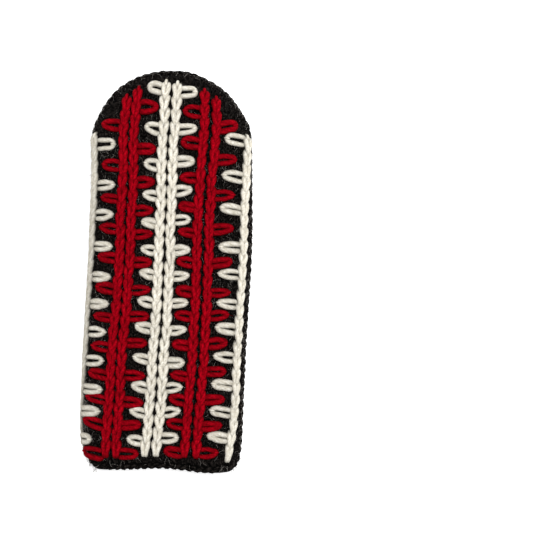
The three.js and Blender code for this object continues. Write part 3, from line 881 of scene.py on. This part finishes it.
# %% Where the rows run
CHAIN_WIDTH = 6.7
PAIR_GAP = 0.7
ROW_STATIONS = np.array([0.04, 0.12, 0.19, 0.3, 0.41, 0.52, 0.63, 0.74, 0.84, 0.95])
ROW_LINES = {
    "left_side": np.array([-1.15, -1.12, -1.08, -1.035, -1.022, -1.011, -0.992, -0.96, -0.963, -0.963]),
    "left_pair": np.array([-0.638, -0.619, -0.604, -0.596, -0.576, -0.568, -0.559, -0.53, -0.52, -0.454]),
    "center_pair": np.array([-0.14, -0.109, -0.093, -0.08, -0.068, -0.077, -0.069, -0.047, -0.025, 0.027]),
    "right_pair": np.array([0.356, 0.379, 0.393, 0.412, 0.416, 0.407, 0.408, 0.443, 0.491, 0.512]),
    "right_side": np.array([0.817, 0.873, 0.89, 0.891, 0.891, 0.897, 0.906, 0.938, 0.959, 0.959]),
}
# side is -1 or 1 for the left or right row of a pair; first, last and loops are shares of the length; the
# loops reach over a share of the gap to the neighbour, at a tilt in degrees
CHAIN_ROWS = {
    "white_chain_left_side": {
        "line": "left_side", "side": 0, "first": 0.046, "last": 0.836,
        "neighbour": "red_chain_left_outer", "reach": 0.88, "tilt": 2,
        "loops": [0.814, 0.711, 0.636, 0.559, 0.482, 0.412, 0.343, 0.269, 0.196, 0.14, 0.071],
    },
    "red_chain_left_outer": {
        "line": "left_pair", "side": -1, "first": 0.034, "last": 0.931,
        "neighbour": "white_chain_left_side", "reach": 0.9, "tilt": 8,
        "loops": [0.857, 0.758, 0.675, 0.6, 0.527, 0.449, 0.377, 0.303, 0.233, 0.17, 0.106, 0.036],
    },
    "red_chain_left_inner": {
        "line": "left_pair", "side": 1, "first": 0.034, "last": 0.951,
        "neighbour": "white_chain_center_left", "reach": 0.93, "tilt": 3,
        "loops": [0.905, 0.801, 0.717, 0.647, 0.587, 0.518, 0.448, 0.383, 0.317, 0.237, 0.171, 0.109,
                  0.041],
    },
    "white_chain_center_left": {
        "line": "center_pair", "side": -1, "first": 0.039, "last": 0.967,
        "neighbour": "red_chain_left_inner", "reach": 0.8, "tilt": 12,
        "loops": [0.948, 0.847, 0.757, 0.681, 0.613, 0.546, 0.486, 0.416, 0.352, 0.275, 0.205, 0.14, 0.072],
    },
    "white_chain_center_right": {
        "line": "center_pair", "side": 1, "first": 0.04, "last": 0.964,
        "neighbour": "red_chain_right_inner", "reach": 0.9, "tilt": 5,
        "loops": [0.941, 0.847, 0.768, 0.695, 0.624, 0.549, 0.483, 0.417, 0.349, 0.272, 0.208, 0.146,
                  0.084],
    },
    "red_chain_right_inner": {
        "line": "right_pair", "side": -1, "first": 0.041, "last": 0.945,
        "neighbour": "white_chain_center_right", "reach": 0.9, "tilt": 8,
        "loops": [0.889, 0.812, 0.728, 0.654, 0.591, 0.518, 0.445, 0.384, 0.313, 0.237, 0.177, 0.118,
                  0.047],
    },
    "red_chain_right_outer": {
        "line": "right_pair", "side": 1, "first": 0.041, "last": 0.926,
        "neighbour": "white_chain_right_side", "reach": 0.82, "tilt": 5,
        "loops": [0.852, 0.773, 0.684, 0.6, 0.516, 0.445, 0.388, 0.319, 0.252, 0.182, 0.115, 0.05],
    },
    "white_chain_right_side": {
        "line": "right_side", "side": 0, "first": 0.034, "last": 0.831,
        "neighbour": "red_chain_right_outer", "reach": 0.83, "tilt": 7,
        "loops": [0.82, 0.729, 0.647, 0.557, 0.49, 0.417, 0.355, 0.286, 0.218, 0.15, 0.088],
    },
}


# how a row differs: moved sideways in mm, its links' width as a share, and how flat it lies, which also
# brings in the painted shade of pressed yarn
ROW_HABITS = {
    "white_chain_left_side": (-0.4, 0.6, 0.7),
    "red_chain_left_outer": (0.3, 1.02, 0),
    "red_chain_left_inner": (-0.45, 1.02, 0),
    "white_chain_center_left": (0.1, 1.06, 0),
    "white_chain_center_right": (-0.1, 1.06, 0),
    "white_chain_right_side": (0.2, 0.76, 0),
}


def row_across(row, along):
    """Millimetres across the cloth from the middle of the back to a chain row."""
    line = value_at(ROW_STATIONS, ROW_LINES[row["line"]], np.asarray(along, dtype=float)) * WIDTH / 2
    return line + row["side"] * (CHAIN_WIDTH + PAIR_GAP) / 2


print("loops in all:", sum(len(row["loops"]) for row in CHAIN_ROWS.values()))

# %% One link and one loop, in millimetres from their start
YARN = 1.62
LINK_PITCH = 8.2
LAST_PART = 0.3  # the last link shows this much more of its pitch than the others
# columns: along the link as a share of the pitch, half width, height above the cloth, thickness, painted
# light
LINK_SIDE = np.array([
    [-0.24, 0.1, 0.6, 0.48, 0.0],
    [-0.12, 0.24, 1.5, 0.64, 0.1],
    [0.02, 0.44, 2.0, 0.8, 0.5],
    [0.2, 0.7, 2.3, 0.92, 0.95],
    [0.48, 1.18, 2.45, 1.02, 1.0],
    [0.76, 1.74, 2.35, 1.08, 1.0],
    [1.0, 2.02, 1.85, 1.05, 0.95],
    [1.16, 1.85, 1.1, 0.95, 0.7],
    [1.27, 1.3, 0.3, 0.83, 0.4],
])


# the first link starts wider, flatter, thicker and in more painted light, as no link lies under it
FIRST_LINK = np.array([0.6, 0.5, -0.7, 0.2, 0.6])


def link_knots(pitch, wide, over, first):
    """One link from its start, up one side, round its end and back; over raises one side."""
    side = LINK_SIDE * [pitch, wide, 1, 1, 1]
    if first:
        side = side[1:] + np.outer([1, 0.7, 0.3, 0, 0, 0, 0, 0], FIRST_LINK)
    # the end dives under the next link and is dark with painted shade
    end = np.array([[1.33 * pitch, 0, -0.4, 0.8, 0.2]])
    lean = np.outer(np.sin(np.linspace(0, math.pi, len(side))), [0, 0.3 * over, 0.3 * over, 0, 0])
    left = side + lean * [0, -1, 1, 0, 0]
    right = side + lean * [0, 1, -1, 0, 0]
    return np.vstack([left, end, right[::-1] * [1, -1, 1, 1, 1]])


def loop_knots(reach, half, blunt):
    """One detached loop: out from under its row, round the tip and back; blunt is 1 for a round tip."""
    side = np.array([
        [1.5, 0.85 * half, 0.2, 0.9],
        [3.6, half, 1.3, 1.0],
        [0.55 * reach, half, 1.6, 1.03],
        [0.78 * reach, half * 0.9 * blunt, 1.5, 1.0],
        [0.92 * reach, half * 0.54 * blunt, 1.25, 0.92],
    ])
    end = np.array([[0.955 * reach, 0, 1.1, 0.88]])
    return np.vstack([side, end, side[::-1] * [1, -1, 1, 1]])


print("a link has", len(link_knots(LINK_PITCH, 1, 0, False)), "knots, a loop", len(loop_knots(10, 2, 1)))

# %% Rows of links
STRAND_STEP = 0.85
LINK_WIDTH = 0.88
# the light number of pressed yarn and the full rise below set painted light, which darkens low yarn as
# painted shade
PRESSED = np.array([1.7, 1.0, 0.62])  # height, thickness and light of yarn that lies flat at the side
FULL_RISE = 2.3  # yarn this high above the cloth lies in full light
STRAND_LIFT = YARN_LIFT * 0.4
TIE_STEP = 0.6
END_TIE = 0.7  # thickness of the last tie stitch, as a share of the yarn's


def lay_on_cloth(skein, along, across, height, thick, light=1.0):
    """Lays a strand on the cloth, at a height above it; light is 1 in the open and 0 in a crevice, and with
    the height it sets the yarn's painted shade.
    """
    point, _, _, out = cloth_frame(BACK_TABLE, along, across)
    share = np.clip(height / FULL_RISE, 0, 1)
    skein.lay(point + out * height[:, None], thick, share * light, out)


def lay_links(skein, name, row):
    """The links of a row, from the cuff to the tip."""
    length = (row["last"] - row["first"]) * LENGTH
    links = int(round(length / LINK_PITCH))
    pitch = length / (links + LAST_PART)
    shift, squeeze, flat = ROW_HABITS.get(name, (0, 1, 0))
    for n in range(links):
        knots = link_knots(pitch, LINK_WIDTH + rng.normal(0, 0.04), rng.normal(0, 0.8), n == 0)
        knots[:, 1] += rng.normal(0, 0.1, len(knots))
        knots[:, 2:] = knots[:, 2:] * (1 - flat) + PRESSED * flat
        way = smooth_way(knots, STRAND_STEP)
        along = row["first"] + (n * pitch + way[:, 0]) / LENGTH
        lay_on_cloth(skein, along, row_across(row, along) + shift + way[:, 1] * squeeze,
                     STRAND_LIFT + way[:, 2], way[:, 3] * YARN, way[:, 4])


def tie_last_link(skein, row):
    """The short stitch that holds down the end of a row."""
    tie = smooth_way([[-2.6, 0, 0.8], [-1.2, 0, 2.3], [0.6, 0, 1.9], [1.6, 0, -0.2]], TIE_STEP)
    along = row["last"] + (tie[:, 0] + 0.3) / LENGTH
    lay_on_cloth(skein, along, row_across(row, along), tie[:, 2], YARN * END_TIE)


print("links in all:", sum(round((row["last"] - row["first"]) * LENGTH / LINK_PITCH)
                           for row in CHAIN_ROWS.values()))

# %% Detached loops
TIP_STARTS = 0.68
CUFF_CORNER = 0.1
CORNER_REACH = 0.72


def lay_loop(skein, name, row, place):
    """One loop at its place along the row, with the short stitch that ties down its tip."""
    base = float(row_across(row, place))
    facing = float(row_across(CHAIN_ROWS[row["neighbour"]], place))
    hand = math.copysign(1, facing - base)
    reach = row["reach"] * (abs(facing - base) - CHAIN_WIDTH / 2 - CLEARANCE)
    if name == "white_chain_left_side" and place < CUFF_CORNER:
        reach *= CORNER_REACH
    tilt = math.radians(row["tilt"] + rng.normal(0, 2))
    near_tip = float(np.clip((place - TIP_STARTS) / 0.2, 0, 1))
    half = rng.uniform(1.7, 2.4) + 0.7 * near_tip
    thick = rng.uniform(0.98, 1.26) + 0.08 * near_tip
    knots = loop_knots(reach, half, rng.uniform(0.7, 1.05))
    knots[:, :2] += rng.normal(0, 0.1, (len(knots), 2))
    way = smooth_way(knots, STRAND_STEP)
    tie = smooth_way([[reach * 0.82, 0, 0.8, 0.5], [reach * 0.88, 0, 2.0, 0.5], [reach * 0.96, 0, 2.4, 0.5],
                      [reach * 1.02, 0, 1.5, 0.5], [reach * 1.03, 0, 0.2, 0.5]], TIE_STEP)
    # painted light: a loop's strands get a little painted shade, its tie none
    for strand, yarn, light in ((way, YARN * thick, 0.9), (tie, YARN, 1.0)):
        across = base + hand * (strand[:, 0] * math.cos(tilt) - strand[:, 1] * math.sin(tilt))
        along = place + (strand[:, 0] * math.sin(tilt) + strand[:, 1] * math.cos(tilt)) / LENGTH
        lay_on_cloth(skein, along, across, STRAND_LIFT + strand[:, 2], strand[:, 3] * yarn, light)


print("the loops of the left side row reach", CHAIN_ROWS["white_chain_left_side"]["reach"], "of the gap")

# %% The eight rows
FUZZ_HAIRS = 120
FUZZ_LENGTH = 2.2


def chain_row(name, row):
    """A whole row as one piece: its links, its loops and the fuzz of its yarn."""
    skein = Skein(sides=10, plies=2, turn_mm=22, ply_depth=0.07)
    lay_links(skein, name, row)
    for place in row["loops"]:
        lay_loop(skein, name, row, place)
    tie_last_link(skein, row)
    skein.fuzz(FUZZ_HAIRS, YARN, FUZZ_LENGTH)
    if name.startswith("red"):
        made = skein.piece(name + "_yarn", red_wool, "red_yarn")
    else:
        made = skein.piece(name + "_yarn", white_wool, "white_yarn")
    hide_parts(name)


for name, row in CHAIN_ROWS.items():
    chain_row(name, row)

# %% [markdown]
# ## Loose hairs
# Wool is never clean at its edge: single hairs stand off the black knitting and catch the light as fine
# grey streaks, and they soften the outline. A hair system would be lost in a plain model, so each hair is a
# very thin closed strand of its own, drawn a few times as thick as a real one so that it shows.

# %% The finish of a single hair


def plain_finish(name, colour, roughness):
    """A material of one colour."""
    material = bpy.data.materials.new(name)
    material.use_nodes = True
    shader = material.node_tree.nodes["Principled BSDF"]
    shader.inputs["Base Color"].default_value = linear(colour)
    shader.inputs["Roughness"].default_value = roughness
    return material


hair_finish = plain_finish("loose_wool_hairs", "#8a857f", 0.7)
print("hairs:", hair_finish.name)

# %% Hairs of the black knitting
HAIR_SPREAD = 62
HAIR_OVERHANG = 3
BRAID_TOP = 0.036  # share of the length that the cuff's braid covers
BRAID_DEPTH = 0.8
HAIR_CLEARANCE = 0.15


def lay_hairs(skein, table, count, longest=5.2, stand_off=0.7):
    """Scatters hairs over one face; each lies nearly flat and lifts a little."""
    along = rng.uniform(0.003, 0.99, count)
    across = rng.uniform(-HAIR_SPREAD, HAIR_SPREAD, count)
    reach = np.array([[side_reach(table, a, -1), side_reach(table, a, 1)] for a in along])
    kept = (across > -reach[:, 0] - HAIR_OVERHANG) & (across < reach[:, 1] + HAIR_OVERHANG)
    along, across = along[kept], across[kept]
    point, side, up, out = cloth_frame(table, along, across)
    point = point + out * (BRAID_DEPTH * (along < BRAID_TOP))[:, None]
    for n in range(len(along)):
        heading = math.pi / 2 + rng.choice([-0.5, 0.5]) + rng.normal(0, 0.45)
        length = rng.uniform(0.35, 1) * longest
        curl = rng.normal(0, 0.22)
        t = np.linspace(0, 1, 5)
        turn = heading + curl * t
        flat = (np.cos(turn)[:, None] * side[n] + np.sin(turn)[:, None] * up[n]) * (t * length)[:, None]
        lift = (0.1 + stand_off * rng.uniform(0.3, 1) * np.sin(t * 2.2))[:, None] * out[n]
        way = point[n] + flat + lift
        if way[:, 2].min() > HAIR_CLEARANCE:
            skein.lay(way, rng.uniform(0.045, 0.095))


def lay_rim_hairs(skein, count):
    """Short hairs that stand off the outline and blur it."""
    line, out = outline_line(0.0, 0.0, 0.0)
    way = unit(np.gradient(line, axis=0))
    for n in rng.integers(0, len(line), count):
        lean = rng.normal(0, 0.9)
        heading = unit(out[n] + way[n] * lean + np.array([0, 0, rng.normal(0, 0.6)]))
        bend = way[n] * rng.normal(0, 0.5)
        t = np.linspace(0, 1, 5)[:, None]
        start = line[n] - out[n] * 0.8 + np.array([0, 0, rng.normal(0, 2.5)])
        hair = start + heading * t * rng.uniform(1.8, 5.2) + bend * t * t
        if hair[:, 2].min() > HAIR_CLEARANCE:
            skein.lay(hair, rng.uniform(0.035, 0.07))


hairs = Skein(sides=3, plies=1, turn_mm=50, ply_depth=0)
lay_rim_hairs(hairs, 1700)
lay_hairs(hairs, BACK_TABLE, 1900)
lay_hairs(hairs, PALM_TABLE, 500, longest=6.0)
hairs.piece("loose_hairs", hair_finish, "black_wool")

# %% The pieces that stand for the black solids
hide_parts("hand")
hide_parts("thumb")
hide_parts("cuff_edge")

# %% [markdown]
# ## Floor, light and camera
# The mitten lies on plain white paper under wide, soft studio light from above, and the camera looks
# straight down on it from 1.2 m. The long lens keeps the sides nearly upright in the picture. The paper
# could be made white by more light alone, but then the wool would fade, so it glows a little by itself.

# %% White paper floor
bpy.ops.object.select_all(action="DESELECT")
bpy.ops.mesh.primitive_plane_add(size=6, location=(0, 0, 0))
paper_floor = bpy.context.object
paper_floor.name = "paper_floor"
paper = plain_finish("white_paper", "#fafafa", 0.9)
paper_glow = paper.node_tree.nodes["Principled BSDF"]
paper_glow.inputs["Emission Color"].default_value = (1, 1, 1, 1)
paper_glow.inputs["Emission Strength"].default_value = 0.7
paper_floor.data.materials.append(paper)
print("floor:", paper_floor.name)

# %% Soft boxes and sky


def soft_box(name, place, size, power):
    """A square area light that looks at the middle of the mitten; size in metres, power in watts."""
    data = bpy.data.lights.new(name, "AREA")
    data.shape = "SQUARE"
    data.size = size
    data.energy = power
    lamp = bpy.data.objects.new(name, data)
    bpy.context.scene.collection.objects.link(lamp)
    lamp.location = place
    yaw = math.atan2(-place[0], place[1])
    pitch = math.acos(place[2] / np.linalg.norm(place))
    lamp.rotation_euler = (pitch, 0, yaw)


soft_box("soft_box_overhead", (0.25, 0.3, 1.6), size=0.6, power=33)
soft_box("soft_box_right", (1.1, 0.3, 0.9), size=0.5, power=4)
world = bpy.context.scene.world or bpy.data.worlds.new("studio")
bpy.context.scene.world = world
world.use_nodes = True
world.node_tree.nodes["Background"].inputs["Color"].default_value = (1, 1, 1, 1)
world.node_tree.nodes["Background"].inputs["Strength"].default_value = 0.2
bpy.context.scene.view_settings.view_transform = "Standard"

# %% The camera
LENS_MM = 124.05
CAMERA_PLACE = (0.0652, 0.00341, 1.2)
camera_data = bpy.data.cameras.new("camera")
camera_data.lens = LENS_MM
camera_data.sensor_width = 36
camera = bpy.data.objects.new("camera", camera_data)
bpy.context.scene.collection.objects.link(camera)
camera.location = CAMERA_PLACE
bpy.context.scene.camera = camera
print("camera at", CAMERA_PLACE)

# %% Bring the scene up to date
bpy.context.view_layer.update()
